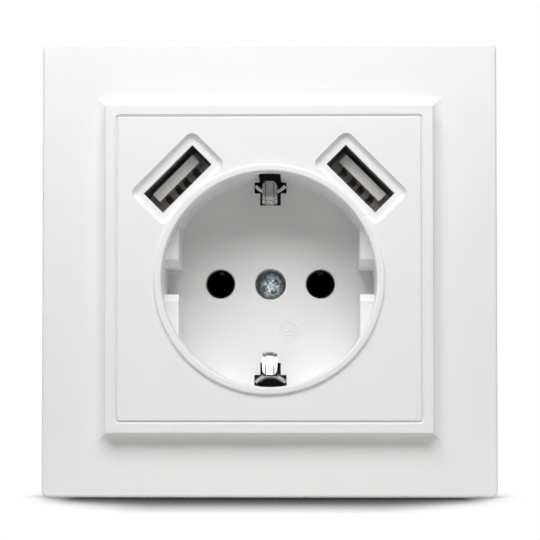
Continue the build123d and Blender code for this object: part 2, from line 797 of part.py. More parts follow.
def make_claw_screw():
    place = Pos(claw_screw_x, 0)
    head_front_y = screw_head_y - claw_screw_head_h
    head = slab(place * Circle(claw_screw_head_d / 2), head_front_y, screw_head_y)
    head = chamfer(head.edges().group_by(Axis.Y)[0], claw_screw_head_edge)
    slot = Rectangle(claw_screw_head_d, claw_screw_slot_w)
    head -= slab(place * slot, head_front_y, head_front_y + claw_screw_slot_depth)
    return head + slab(place * Circle(claw_screw_d / 2), screw_head_y, claw_len + claw_screw_tail)


def make_usb_board():
    board = Circle(base_r - base_wall - board_edge_gap)
    board -= at_pot(Circle(pot_out_r + usb_board_pot_gap)) + guard_outline(1, clear)
    return slab(above(board, usb_board_from_z), usb_board_y, usb_board_back_y)


def make_link_pins():
    first = -(link_count - 1) / 2
    pin = slab(Pos(0, link_z) * Rectangle(link_pin, link_pin), usb_board_back_y, charger_y)
    return Compound(children=[Pos((first + n) * link_pitch, 0, 0) * pin for n in range(link_count)])


def make_supply_pins():
    pin = slab(Pos(0, -pot_drop - supply_drop) * Circle(supply_pin_d / 2), tube_end_y, charger_y)
    return Compound(children=[Pos(s * pin_pitch / 2, 0, 0) * pin for s in (-1, 1)])


def make_insulator():
    """Plate between the tips of the plug's pins and the charger, with holes for posts and pins."""
    plate = cover_outline(base_wall + snug)
    plate -= Pos(0, link_z) * Rectangle(link_count * link_pitch, link_pitch)
    for s in (-1, 1):
        plate -= Pos(s * post_x, post_z) * Circle(post_r + snug)
        plate -= Pos(s * pin_pitch / 2, -pot_drop - supply_drop) * Circle(supply_pin_d / 2 + clear)
    return slab(plate, insulator_y, body_depth)


def make_charger_board():
    board = cover_outline(cover_wall + board_edge_gap)
    for s in (-1, 1):
        board -= Pos(s * post_x, post_z) * Circle(case_screw_d / 2 + clear)
    return slab(board, charger_y, charger_back_y)


def make_transformer():
    """Ferrite core with two windows, and the winding round its middle leg."""
    front = charger_back_y + core_lift
    back = front + core_thick
    window_w = (core_w - core_middle) / 2 - core_leg
    window_x = core_middle / 2 + window_w / 2
    outline = Rectangle(core_w, core_h)
    for s in (-1, 1):
        outline -= Pos(s * window_x, 0) * Rectangle(window_w, core_h - 2 * core_leg)
    core = slab(Pos(0, core_z) * outline, front, back)
    winding_w = core_middle + 2 * (window_w - clear)
    middle_y = charger_back_y + winding_tall / 2
    turn = RectangleRounded(winding_w, winding_tall, winding_corner_r)
    turn -= Pos(0, (front + back) / 2 - middle_y) * Rectangle(core_middle + 2 * snug, core_thick + 2 * snug)
    winding = extrude(Pos(0, middle_y, core_z) * turn, winding_h / 2, both=True)
    return core, winding


def make_lying_can():
    """Electrolytic can on its side, with a crimped groove near its end."""
    r = input_can_d / 2
    end = input_can_len / 2
    groove_x = can_groove_at - end
    groove_from = groove_x - can_groove_w / 2
    groove_to = groove_x + can_groove_w / 2
    side = Polyline((-end, 0), (-end, r), (groove_from, r))
    side += Polyline((groove_from, r), (groove_x, r - can_groove), (groove_to, r))
    side += Polyline((groove_to, r), (end, r), (end, 0), (-end, 0))
    can = revolve(make_face(side), Axis.X)
    return Pos(input_can_x, charger_back_y + r, input_can_z) * can


def make_output_cans():
    r = output_can_d / 2
    cans = []
    for s in (-1, 1):
        can = Pos(s * output_can_x, output_can_z) * Circle(r)
        can = slab(can, charger_back_y, charger_back_y + output_can_h)
        cans.append(chamfer(can.edges().group_by(Axis.Y)[-1], can_edge))
    return Compound(children=cans)


def make_safety_capacitor():
    disc = Cylinder(disc_d / 2, disc_t)
    disc = chamfer(disc.edges().filter_by(GeomType.CIRCLE), disc_edge)
    return Pos(disc_x, charger_back_y + disc_d / 2, disc_z) * disc


def make_choke():
    """Drum core: two flanges and a wound waist."""
    outline = Polyline(
        (0, 0), (choke_d / 2, 0), (choke_d / 2, choke_flange), (choke_waist_d / 2, choke_flange),
        (choke_waist_d / 2, choke_h - choke_flange), (choke_d / 2, choke_h - choke_flange),
        (choke_d / 2, choke_h), (0, choke_h), close=True,
    )
    return Pos(choke_x, charger_back_y, choke_z) * revolve(make_face(outline), Axis.Y)


def make_fuse():
    fuse = Rot(0, 90, 0) * Cylinder(fuse_d / 2, fuse_len)
    fuse = chamfer(fuse.edges().filter_by(GeomType.CIRCLE), fuse_edge)
    return Pos(fuse_x, charger_back_y + fuse_d / 2, fuse_z) * fuse


def make_flat_chip(x, z, width, height, thick):
    return slab(Pos(x, z) * Rectangle(width, height), charger_back_y, charger_back_y + thick)


def make_nodes():
    core, winding = make_transformer()
    contact = make_contact()
    claw = make_claw()
    claw_screw = make_claw_screw()
    nodes = {
        "cover_frame": make_cover_frame(),
        "centre_plate": make_centre_plate(),
        "plate_screw": make_plate_screw(),
        "earth_bow": make_earth_bow(),
        "support_strap": make_support_strap(),
        "strap_rivets": make_rivets(),
        "socket_base": make_socket_base(),
        "rear_cover": make_rear_cover(),
        "housing_screws": make_housing_screws(),
        "contact_right": contact,
        "contact_left": mirror(contact, about=Plane.YZ),
        "claw_right": claw,
        "claw_left": mirror(claw, about=Plane.YZ),
        "claw_screw_right": claw_screw,
        "claw_screw_left": mirror(claw_screw, about=Plane.YZ),
        "usb_board": make_usb_board(),
        "link_pins": make_link_pins(),
        "supply_pins": make_supply_pins(),
        "insulator_plate": make_insulator(),
        "charger_board": make_charger_board(),
        "transformer_core": core,
        "transformer_winding": winding,
        "input_capacitor": make_lying_can(),
        "output_capacitors": make_output_cans(),
        "safety_capacitor": make_safety_capacitor(),
        "choke": make_choke(),
        "fuse_resistor": make_fuse(),
        "controller_chip": make_flat_chip(chip_x, chip_z, chip_w, chip_h, chip_t),
        "rectifier": make_flat_chip(bridge_x, bridge_z, bridge_side, bridge_side, bridge_t),
        "terminal_screws": Compound(children=[make_clamp_screw(*place) for place in cage_places().values()]),
    }
    for name, place in cage_places().items():
        nodes[f"terminal_{name}"] = make_cage(*place)
    for name, side in (("left", -1), ("right", 1)):
        nodes[f"usb_shell_{name}"] = make_usb_shell(side)
        nodes[f"usb_tongue_{name}"] = make_usb_tongue(side)
        nodes[f"usb_contacts_{name}"] = make_usb_contacts(side)
    return nodes


os.makedirs("parts", exist_ok=True)
for name, shape in make_nodes().items():
    export_step(shape, f"parts/{name}.step")
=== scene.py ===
from math import cos, pi, radians, sin

import bmesh
import bpy
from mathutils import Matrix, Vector


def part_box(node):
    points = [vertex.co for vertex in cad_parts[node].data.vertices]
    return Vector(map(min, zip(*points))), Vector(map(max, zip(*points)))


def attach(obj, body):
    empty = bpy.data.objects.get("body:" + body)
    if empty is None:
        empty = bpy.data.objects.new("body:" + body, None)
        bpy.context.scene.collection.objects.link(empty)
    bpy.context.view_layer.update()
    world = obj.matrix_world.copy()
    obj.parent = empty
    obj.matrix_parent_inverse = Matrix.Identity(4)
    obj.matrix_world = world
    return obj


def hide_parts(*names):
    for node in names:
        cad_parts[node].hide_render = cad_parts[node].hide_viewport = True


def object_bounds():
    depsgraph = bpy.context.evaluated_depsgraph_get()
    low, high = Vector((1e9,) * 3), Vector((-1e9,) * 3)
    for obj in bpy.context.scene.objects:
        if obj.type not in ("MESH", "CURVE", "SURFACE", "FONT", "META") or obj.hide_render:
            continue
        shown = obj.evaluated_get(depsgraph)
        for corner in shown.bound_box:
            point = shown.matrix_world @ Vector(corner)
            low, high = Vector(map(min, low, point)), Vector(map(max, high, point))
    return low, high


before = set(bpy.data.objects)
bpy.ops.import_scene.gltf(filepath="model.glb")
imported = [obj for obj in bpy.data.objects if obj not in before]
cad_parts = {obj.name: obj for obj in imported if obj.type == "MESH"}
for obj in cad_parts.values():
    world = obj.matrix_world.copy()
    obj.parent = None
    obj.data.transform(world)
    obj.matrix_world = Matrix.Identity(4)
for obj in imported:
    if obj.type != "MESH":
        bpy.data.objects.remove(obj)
cad_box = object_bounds()

# Looks of the flush wall socket: finishes for every piece, the raised earth sign on the pot's floor, the
# plate screw's domed head, threads on the claw screws, and a white studio with the photograph's view.
# All lengths are in metres.

MM = 0.001

# Camera: the lens stands a little below the socket's middle and its picture is raised by a shift
CAMERA_PLACE = (5.6 * MM, -337.6 * MM, -20.1 * MM)
CAMERA_PAN = 0.948
CAMERA_TILT = 1.769
CAMERA_LENS = 120.8
CAMERA_SENSOR = 36
CAMERA_RAISE = 0.1

# Studio: a soft lamp high in front, another one behind, a weak one at each side, low light from all round,
# and a white floor with a painted shadow near the socket
KEY_PLACE = (-0.015, -0.197, 0.197)
KEY_SIZE = (0.28, 0.154)
KEY_POWER = 0.852
BACK_PLACE = (0.16, 0.38, 0.3)
BACK_SIZE = (0.4, 0.3)
BACK_POWER = 1.6
SIDE_PLACE = (0.32, -0.065, 0.05)
SIDE_SIZE = (0.12, 0.2)
SIDE_POWER = 0.12
AMBIENT = 0.01
FLOOR_SIDE = 6
# Floor's painted shadow: occlusion reach and levels, how it thins towards the corners, ends there and
# pales behind the frame
SHADOW_REACH = 39 * MM
SHADOW_SAMPLES = 16
SHADOW_LEVELS = ((0.45, 0.032), (0.6, 0.07), (0.78, 0.21), (0.93, 0.75), (1.0, 1.0))
SHADOW_MIDDLE = 20 * MM
SHADOW_SIDE = 43 * MM
SHADOW_DARKEST = 0.45
SHADOW_THIN = 0.78
SHADOW_FADE = 35 * MM
SHADOW_END = 47 * MM
SHADOW_FRONT_Y = -7 * MM
SHADOW_BACK_Y = 6 * MM
SHADOW_BACK_EASE = 0.4
FLOOR_NEAR = (0.72, 0.72, 0.71)
FLOOR_FAR = (0.36, 0.36, 0.352)
FLOOR_NEAR_END = 40 * MM
FLOOR_FAR_START = 110 * MM

# Finishes: widths of the plastic's clouds and sheen, of the zinc's crystals and of the board's track cells
PLASTIC_CLOUD = 9 * MM
PLASTIC_SHEEN = 3 * MM
PLASTIC_IOR = 1.5
ZINC_CRYSTAL = 2.4 * MM
ZINC_GRAIN = 0.2 * MM
TRACK_CELL = 6 * MM
TRACK_PROUD = 0.03 * MM
TURN_PROUD = 0.05 * MM

# Pot
POT_DROP = 1.9 * MM
POT_FLOOR_Y = 6.0 * MM

# Earth prongs: their tips, away from the pot's axis where plugs rub them bright and near the front in the
# open, are darkened, partly as tarnish and partly as a painted dark reflection; where that darkening
# starts and becomes full
TARNISH_REFLECTION_AXIS_START = 15.2 * MM
TARNISH_REFLECTION_AXIS_FULL = 16.0 * MM
TARNISH_REFLECTION_DEPTH_FULL = 2 * MM
TARNISH_REFLECTION_DEPTH_END = 4 * MM

# Earth sign on the pot's floor
SIGN_X = 3.6 * MM
SIGN_BELOW_POT = 8.95 * MM
SIGN_R = 1.8 * MM
SIGN_LINE = 0.32 * MM
SIGN_PROUD = 0.06 * MM
SIGN_STEM = 1.35 * MM
SIGN_BARS = (2.3 * MM, 1.75 * MM, 1.2 * MM)
SIGN_BAR_STEP = 0.64 * MM
SIGN_RING_STEPS = 48
SIGN_LINE_STEPS = 10

# Plate screw: a domed head with a cross recess
SCREW_HEAD_H = 2.0 * MM
SCREW_DOME = 0.9 * MM
SCREW_DOME_POWER = 2.6
SCREW_SHANK_R = 1.5 * MM
SCREW_CROSS_LEN = 3.5 * MM
SCREW_CROSS_W = 1.0 * MM
SCREW_CROSS_DEPTH = 1.1 * MM
SCREW_CROSS_TURN = 28
SCREW_CROSS_SIDE_SLOPE = 0.12 * SCREW_CROSS_W
SCREW_CROSS_END_SLOPE = 0.3 * SCREW_CROSS_LEN
SCREW_SHARP_FROM = 35
SCREW_RINGS = 56
SCREW_SECTORS = 144

# Threads of the claw screws
CLAW_THREAD_PITCH = 0.5 * MM
CLAW_THREAD_DEPTH = 0.16 * MM
CLAW_SHANK_R = 1.5 * MM
CLAW_THREAD_START = 6 * MM
CLAW_THREAD_STEPS = 20
CLAW_THREAD_SIDES = 5


def shader(name):
    """New material with a Principled shader, its tree, and the piece's own coordinates."""
    material = bpy.data.materials.new(name)
    material.use_nodes = True
    tree = material.node_tree
    tree.nodes.clear()
    out = tree.nodes.new("ShaderNodeOutputMaterial")
    bsdf = tree.nodes.new("ShaderNodeBsdfPrincipled")
    tree.links.new(bsdf.outputs["BSDF"], out.inputs["Surface"])
    coords = tree.nodes.new("ShaderNodeTexCoord")
    return material, tree, bsdf, coords.outputs["Object"]


def stretched(tree, vector, scale):
    """Coordinates scaled by a different factor along each axis, for drawn and brushed grain."""
    mapping = tree.nodes.new("ShaderNodeMapping")
    mapping.inputs["Scale"].default_value = scale
    tree.links.new(vector, mapping.inputs["Vector"])
    return mapping.outputs["Vector"]


def noise(tree, vector, grain, detail=3.0, roughness=0.55):
    """Noise whose blots are about one grain wide."""
    node = tree.nodes.new("ShaderNodeTexNoise")
    node.inputs["Scale"].default_value = 1 / grain
    node.inputs["Detail"].default_value = detail
    node.inputs["Roughness"].default_value = roughness
    tree.links.new(vector, node.inputs["Vector"])
    return node.outputs["Fac"]


def spread(tree, value, low, high, start=0.3, end=0.7):
    """Maps a noise value to a range of numbers."""
    node = tree.nodes.new("ShaderNodeMapRange")
    node.inputs["From Min"].default_value = start
    node.inputs["From Max"].default_value = end
    node.inputs["To Min"].default_value = low
    node.inputs["To Max"].default_value = high
    tree.links.new(value, node.inputs["Value"])
    return node.outputs["Result"]


def tint(tree, bsdf, value, dark, light, start=0.35, end=0.65):
    """Colours the surface between two tones by a noise value."""
    ramp = tree.nodes.new("ShaderNodeValToRGB")
    ramp.color_ramp.elements[0].position = start
    ramp.color_ramp.elements[0].color = (*dark, 1)
    ramp.color_ramp.elements[1].position = end
    ramp.color_ramp.elements[1].color = (*light, 1)
    tree.links.new(value, ramp.inputs["Fac"])
    tree.links.new(ramp.outputs["Color"], bsdf.inputs["Base Color"])


def relief(tree, bsdf, value, depth, strength=1.0):
    """Raises and sinks the surface by a noise value, up to a depth."""
    bump = tree.nodes.new("ShaderNodeBump")
    bump.inputs["Strength"].default_value = strength
    bump.inputs["Distance"].default_value = depth
    tree.links.new(value, bump.inputs["Height"])
    tree.links.new(bump.outputs["Normal"], bsdf.inputs["Normal"])


def moulding(name, dark, light, rough, grain, depth, gloss=0.5):
    """Injection-moulded plastic: faint clouding, uneven sheen and a fine eroded grain."""
    material, tree, bsdf, place = shader(name)
    tint(tree, bsdf, noise(tree, place, PLASTIC_CLOUD), dark, light)
    tree.links.new(spread(tree, noise(tree, place, PLASTIC_SHEEN), *rough), bsdf.inputs["Roughness"])
    relief(tree, bsdf, noise(tree, place, grain, detail=2.0), depth)
    bsdf.inputs["IOR"].default_value = PLASTIC_IOR
    bsdf.inputs["Specular IOR Level"].default_value = gloss
    return material


def plated(name, dark, light, rough, blot, draw=(1, 1, 1), grain=0.12 * MM, depth=0.004 * MM):
    """Plated metal: cloudy tone, uneven polish and a fine grain that may run along the draw."""
    material, tree, bsdf, place = shader(name)
    bsdf.inputs["Metallic"].default_value = 1.0
    tint(tree, bsdf, noise(tree, place, blot), dark, light)
    drawn = stretched(tree, place, draw)
    tree.links.new(spread(tree, noise(tree, drawn, 6 * grain), *rough), bsdf.inputs["Roughness"])
    relief(tree, bsdf, noise(tree, drawn, grain), depth)
    return material


def tarnish_and_painted_reflection_tips(material, dark):
    """Darkens the earth prongs' tips, which stand in the open where no plug rubs them: partly tarnish,
    partly a painted dark reflection.
    """
    tree = material.node_tree
    base_colour = tree.nodes["Principled BSDF"].inputs["Base Color"]
    undarkened = base_colour.links[0].from_socket
    coords = tree.nodes.new("ShaderNodeTexCoord")
    centred = tree.nodes.new("ShaderNodeMapping")
    centred.inputs["Location"].default_value = (0, 0, POT_DROP)
    tree.links.new(coords.outputs["Object"], centred.inputs["Vector"])
    split = tree.nodes.new("ShaderNodeSeparateXYZ")
    tree.links.new(centred.outputs["Vector"], split.inputs["Vector"])
    away = tree.nodes.new("ShaderNodeMath")
    away.operation = "ABSOLUTE"
    tree.links.new(split.outputs["Z"], away.inputs[0])
    both = tree.nodes.new("ShaderNodeMath")
    both.operation = "MINIMUM"
    tree.links.new(spread(tree, away.outputs["Value"], 0.0, 1.0, TARNISH_REFLECTION_AXIS_START, TARNISH_REFLECTION_AXIS_FULL), both.inputs[0])
    tree.links.new(spread(tree, split.outputs["Y"], 1.0, 0.0, TARNISH_REFLECTION_DEPTH_FULL, TARNISH_REFLECTION_DEPTH_END), both.inputs[1])
    mix = tree.nodes.new("ShaderNodeMix")
    mix.data_type = "RGBA"
    mix.inputs["B"].default_value = (*dark, 1)
    tree.links.new(both.outputs["Value"], mix.inputs["Factor"])
    tree.links.new(undarkened, mix.inputs["A"])
    tree.links.new(mix.outputs["Result"], base_colour)


def zinc_sheet():
    """Zinc-plated steel sheet with a soft crystal pattern."""
    material, tree, bsdf, place = shader("zinc_sheet")
    bsdf.inputs["Metallic"].default_value = 1.0
    cells = tree.nodes.new("ShaderNodeTexVoronoi")
    cells.inputs["Scale"].default_value = 1 / ZINC_CRYSTAL
    tree.links.new(place, cells.inputs["Vector"])
    split = tree.nodes.new("ShaderNodeSeparateColor")
    tree.links.new(cells.outputs["Color"], split.inputs["Color"])
    tint(tree, bsdf, split.outputs["Red"], (0.52, 0.54, 0.57), (0.66, 0.68, 0.70), 0.0, 1.0)
    tree.links.new(spread(tree, split.outputs["Green"], 0.28, 0.42, 0.0, 1.0), bsdf.inputs["Roughness"])
    relief(tree, bsdf, noise(tree, place, ZINC_GRAIN), 0.005 * MM)
    return material


def laminate():
    """Green circuit laminate: solder mask over copper tracks that show as a paler network."""
    material, tree, bsdf, place = shader("laminate")
    tracks = tree.nodes.new("ShaderNodeTexBrick")
    tracks.inputs["Scale"].default_value = 1 / TRACK_CELL
    tracks.inputs["Color1"].default_value = (0.015, 0.085, 0.035, 1)
    tracks.inputs["Color2"].default_value = (0.02, 0.10, 0.04, 1)
    tracks.inputs["Mortar"].default_value = (0.045, 0.17, 0.07, 1)
    tree.links.new(place, tracks.inputs["Vector"])
    tree.links.new(tracks.outputs["Color"], bsdf.inputs["Base Color"])
    tree.links.new(spread(tree, noise(tree, place, 1 * MM), 0.25, 0.4), bsdf.inputs["Roughness"])
    relief(tree, bsdf, tracks.outputs["Fac"], TRACK_PROUD)
    return material


def wound(name, dark, light, turn, along):
    """Wire or tape wound in turns along an axis. At scale 1 the wave repeats every pi / 10."""
    material, tree, bsdf, place = shader(name)
    wave = tree.nodes.new("ShaderNodeTexWave")
    wave.bands_direction = along
    wave.inputs["Scale"].default_value = pi / 10 / turn
    tree.links.new(place, wave.inputs["Vector"])
    tint(tree, bsdf, wave.outputs["Fac"], dark, light, 0.1, 0.9)
    tree.links.new(spread(tree, noise(tree, place, 0.5 * MM), 0.2, 0.4), bsdf.inputs["Roughness"])
    relief(tree, bsdf, wave.outputs["Fac"], TURN_PROUD)
    return material


def dress_nodes():
    """Gives every piece of the frame its finish."""
    white = moulding("white_moulding", (0.86, 0.86, 0.858), (0.866, 0.866, 0.864), (0.36, 0.46), 0.16 * MM,
                     0.004 * MM)
    grey = moulding("dark_moulding", (0.028, 0.028, 0.030), (0.040, 0.040, 0.043), (0.7, 0.85), 0.25 * MM,
                    0.01 * MM, gloss=0.15)
    press = moulding("pressed_board", (0.012, 0.012, 0.013), (0.02, 0.02, 0.022), (0.7, 0.85), 0.4 * MM,
                     0.02 * MM, gloss=0.15)
    pale = moulding("port_moulding", (0.72, 0.72, 0.71), (0.80, 0.80, 0.79), (0.4, 0.5), 0.2 * MM,
                    0.004 * MM)
    dull = moulding("chip_moulding", (0.02, 0.02, 0.022), (0.035, 0.035, 0.04), (0.5, 0.7), 0.1 * MM,
                    0.006 * MM)
    sleeve = moulding("can_sleeve", (0.018, 0.02, 0.03), (0.03, 0.032, 0.045), (0.2, 0.3), 0.6 * MM,
                      0.004 * MM)
    dipped = moulding("dipped_ceramic", (0.08, 0.20, 0.42), (0.11, 0.26, 0.50), (0.3, 0.45), 0.8 * MM,
                      0.02 * MM)
    lacquer = moulding("fuse_lacquer", (0.25, 0.33, 0.28), (0.32, 0.40, 0.34), (0.25, 0.4), 0.5 * MM,
                       0.01 * MM)
    zinc = zinc_sheet()
    screw_zinc = plated("screw_zinc", (0.50, 0.53, 0.58), (0.68, 0.71, 0.76), (0.2, 0.34), 0.8 * MM)
    blue_zinc = plated("blue_zinc", (0.16, 0.25, 0.31), (0.86, 0.88, 0.88), (0.1, 0.18), 0.6 * MM)
    nickel = plated("spring_nickel", (0.46, 0.455, 0.44), (0.58, 0.575, 0.56), (0.2, 0.3), 0.5 * MM,
                    (1, 0.12, 0.12), depth=0.001 * MM)
    # Prong tips darkened: tarnish and a painted dark reflection
    tarnish_and_painted_reflection_tips(nickel, (0.19, 0.183, 0.173))
    shell = plated("port_nickel", (0.30, 0.28, 0.266), (0.42, 0.393, 0.372), (0.35, 0.5), 1.5 * MM,
                   (1, 0.1, 1))
    # Socket contacts: tone set near black as a painted shade for the deep pin holes
    bronze = plated("bronze_painted_shade", (0.05, 0.04, 0.026), (0.09, 0.07, 0.045), (0.3, 0.45), 1.4 * MM,
                    (1, 0.15, 1))
    # USB contacts: tone set near black as a painted shade for the springs in the ports' shadow
    strip = plated("port_strip_painted_shade", (0.05, 0.045, 0.04), (0.09, 0.08, 0.07), (0.3, 0.45), 1.0 * MM,
                   (1, 0.15, 1))
    brass = plated("spring_brass", (0.22, 0.16, 0.075), (0.31, 0.235, 0.12), (0.35, 0.5), 1.4 * MM,
                   (1, 0.15, 1))
    tinned = plated("tinned_pin", (0.55, 0.52, 0.45), (0.70, 0.67, 0.58), (0.2, 0.35), 0.8 * MM)
    board = laminate()
    tape = wound("winding_tape", (0.55, 0.40, 0.03), (0.68, 0.52, 0.06), 0.9 * MM, "Z")
    wire = wound("choke_wire", (0.16, 0.05, 0.02), (0.34, 0.12, 0.05), 0.35 * MM, "Y")
    ferrite = moulding("ferrite", (0.03, 0.03, 0.032), (0.055, 0.055, 0.06), (0.45, 0.65), 0.3 * MM,
                       0.02 * MM)
    finishes = {
        white: ("cover_frame", "centre_plate"),
        grey: ("socket_base", "rear_cover"),
        press: ("insulator_plate",),
        pale: ("usb_tongue_left", "usb_tongue_right"),
        dull: ("controller_chip", "rectifier"),
        sleeve: ("input_capacitor", "output_capacitors"),
        dipped: ("safety_capacitor",),
        lacquer: ("fuse_resistor",),
        zinc: ("support_strap", "claw_left", "claw_right"),
        screw_zinc: ("strap_rivets", "housing_screws", "terminal_screws",
                     "claw_screw_left", "claw_screw_right"),
        blue_zinc: ("plate_screw",),
        nickel: ("earth_bow",),
        shell: ("usb_shell_left", "usb_shell_right"),
        bronze: ("contact_left", "contact_right"),
        strip: ("usb_contacts_left", "usb_contacts_right"),
        brass: ("terminal_left", "terminal_earth", "terminal_right"),
        tinned: ("link_pins", "supply_pins"),
        board: ("usb_board", "charger_board"),
        tape: ("transformer_winding",),
        wire: ("choke",),
        ferrite: ("transformer_core",),
    }
    for material, nodes in finishes.items():
        for node in nodes:
            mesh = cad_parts[node].data
            mesh.materials.clear()
            mesh.materials.append(material)
    return {material.name: material for material in finishes}


def node_tree(name, inputs):
    """Empty geometry tree with named length inputs and one geometry output."""
    tree = bpy.data.node_groups.new(name, "GeometryNodeTree")
    for label, value in inputs.items():
        socket = tree.interface.new_socket(label, in_out="INPUT", socket_type="NodeSocketFloat")
        socket.default_value = value
    tree.interface.new_socket("Geometry", in_out="OUTPUT", socket_type="NodeSocketGeometry")
    return tree, tree.nodes.new("NodeGroupInput"), tree.nodes.new("NodeGroupOutput")


def close_tree(tree, shape, group_out, material):
    """Ends a tree: instances become real and take their finish."""
    realize = tree.nodes.new("GeometryNodeRealizeInstances")
    paint = tree.nodes.new("GeometryNodeSetMaterial")
    paint.inputs["Material"].default_value = material
    tree.links.new(shape, realize.inputs["Geometry"])
    tree.links.new(realize.outputs["Geometry"], paint.inputs["Geometry"])
    tree.links.new(paint.outputs["Geometry"], group_out.inputs["Geometry"])


def piece_from_tree(name, tree, material):
    """Plain mesh object of what a geometry tree makes."""
    carrier = bpy.data.objects.new(name + "_tree", bpy.data.meshes.new(name + "_tree"))
    bpy.context.collection.objects.link(carrier)
    carrier.modifiers.new("tree", "NODES").node_group = tree
    seen = carrier.evaluated_get(bpy.context.evaluated_depsgraph_get())
    mesh = bpy.data.meshes.new_from_object(seen)
    bpy.data.objects.remove(carrier)
    mesh.name = name
    mesh.materials.clear()
    mesh.materials.append(material)
    piece = bpy.data.objects.new(name, mesh)
    bpy.context.collection.objects.link(piece)
    return piece


def face_outwards(mesh):
    """Turns every face of a closed mesh outwards."""
    shape = bmesh.new()
    shape.from_mesh(mesh)
    bmesh.ops.recalc_face_normals(shape, faces=shape.faces)
    shape.to_mesh(mesh)
    shape.free()


def make_earth_sign(white):
    """Raised ring with the earth strokes on the pot's floor."""
    tree, given, out = node_tree("earth_sign", {"Line": SIGN_LINE, "Ring radius": SIGN_R})
    join = tree.nodes.new("GeometryNodeJoinGeometry")
    ring = tree.nodes.new("GeometryNodeCurvePrimitiveCircle")
    ring.inputs["Resolution"].default_value = SIGN_RING_STEPS
    tree.links.new(given.outputs["Ring radius"], ring.inputs["Radius"])
    tree.links.new(ring.outputs["Curve"], join.inputs["Geometry"])
    strokes = [((0, SIGN_STEM, 0), (0, 0, 0))]
    for number, width in enumerate(SIGN_BARS):
        drop = -number * SIGN_BAR_STEP
        strokes.append(((-width / 2, drop, 0), (width / 2, drop, 0)))
    for start, end in strokes:
        stroke = tree.nodes.new("GeometryNodeCurvePrimitiveLine")
        stroke.inputs["Start"].default_value = start
        stroke.inputs["End"].default_value = end
        tree.links.new(stroke.outputs["Curve"], join.inputs["Geometry"])
    section = tree.nodes.new("GeometryNodeCurvePrimitiveCircle")
    section.inputs["Resolution"].default_value = SIGN_LINE_STEPS
    half = tree.nodes.new("ShaderNodeMath")
    half.operation = "MULTIPLY"
    half.inputs[1].default_value = 0.5
    tree.links.new(given.outputs["Line"], half.inputs[0])
    tree.links.new(half.outputs["Value"], section.inputs["Radius"])
    sweep = tree.nodes.new("GeometryNodeCurveToMesh")
    sweep.inputs["Fill Caps"].default_value = True
    tree.links.new(join.outputs["Geometry"], sweep.inputs["Curve"])
    tree.links.new(section.outputs["Curve"], sweep.inputs["Profile Curve"])
    close_tree(tree, sweep.outputs["Mesh"], out, white)
    sign = piece_from_tree("earth_sign", tree, white)
    for vertex in sign.data.vertices:
        x, z, height = vertex.co
        flat = height * SIGN_PROUD / (SIGN_LINE / 2)
        vertex.co = (x + SIGN_X, POT_FLOOR_Y - flat, z - POT_DROP - SIGN_BELOW_POT)
    face_outwards(sign.data)
    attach(sign, "socket")


def cross_sink(x, z):
    """Depth of the screw's cross recess at a place on the head, with sloping sides and ends."""
    turn = radians(SCREW_CROSS_TURN)
    along = x * cos(turn) + z * sin(turn)
    across = z * cos(turn) - x * sin(turn)
    depth = 0.0
    for u, v in ((along, across), (across, along)):
        side = min(1.0, max(0.0, (SCREW_CROSS_W / 2 - abs(v)) / SCREW_CROSS_SIDE_SLOPE))
        end = min(1.0, max(0.0, (SCREW_CROSS_LEN / 2 - abs(u)) / SCREW_CROSS_END_SLOPE))
        depth = max(depth, SCREW_CROSS_DEPTH * min(side, end))
    return depth


def make_screw_head(zinc):
    """Plate screw with a domed head and a cross recess, turned ring by ring from the middle outwards."""
    low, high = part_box("plate_screw")
    radius = (high.x - low.x) / 2
    middle_z = (high.z + low.z) / 2
    seat_y = low.y + SCREW_HEAD_H
    rings = []
    for number in range(1, SCREW_RINGS + 1):
        share = number / SCREW_RINGS
        fall = SCREW_DOME * (1 - (1 - share ** SCREW_DOME_POWER) ** (1 / SCREW_DOME_POWER))
        rings.append((share * radius, low.y + fall, True))
    rings += [(radius, seat_y, False), (SCREW_SHANK_R, seat_y, False), (SCREW_SHANK_R, high.y, False)]
    points = [(0, low.y + cross_sink(0, 0), middle_z)]
    for ring_r, y, front in rings:
        for sector in range(SCREW_SECTORS):
            angle = 2 * pi * sector / SCREW_SECTORS
            x = ring_r * cos(angle)
            z = ring_r * sin(angle)
            points.append((x, y + (cross_sink(x, z) if front else 0), z + middle_z))
    points.append((0, high.y, middle_z))
    faces = []
    last = len(points) - 1
    for sector in range(SCREW_SECTORS):
        after = (sector + 1) % SCREW_SECTORS
        faces.append((0, 1 + sector, 1 + after))
        for ring in range(len(rings) - 1):
            inner = 1 + ring * SCREW_SECTORS
            outer = inner + SCREW_SECTORS
            faces.append((inner + sector, outer + sector, outer + after, inner + after))
        end = last - SCREW_SECTORS
        faces.append((end + sector, last, end + after))
    mesh = bpy.data.meshes.new("plate_screw_turned")
    mesh.from_pydata(points, [], faces)
    mesh.materials.append(zinc)
    face_outwards(mesh)
    for face in mesh.polygons:
        face.use_smooth = True
    mesh.set_sharp_from_angle(angle=radians(SCREW_SHARP_FROM))
    screw = bpy.data.objects.new("plate_screw_turned", mesh)
    bpy.context.collection.objects.link(screw)
    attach(screw, "socket")
    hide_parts("plate_screw")


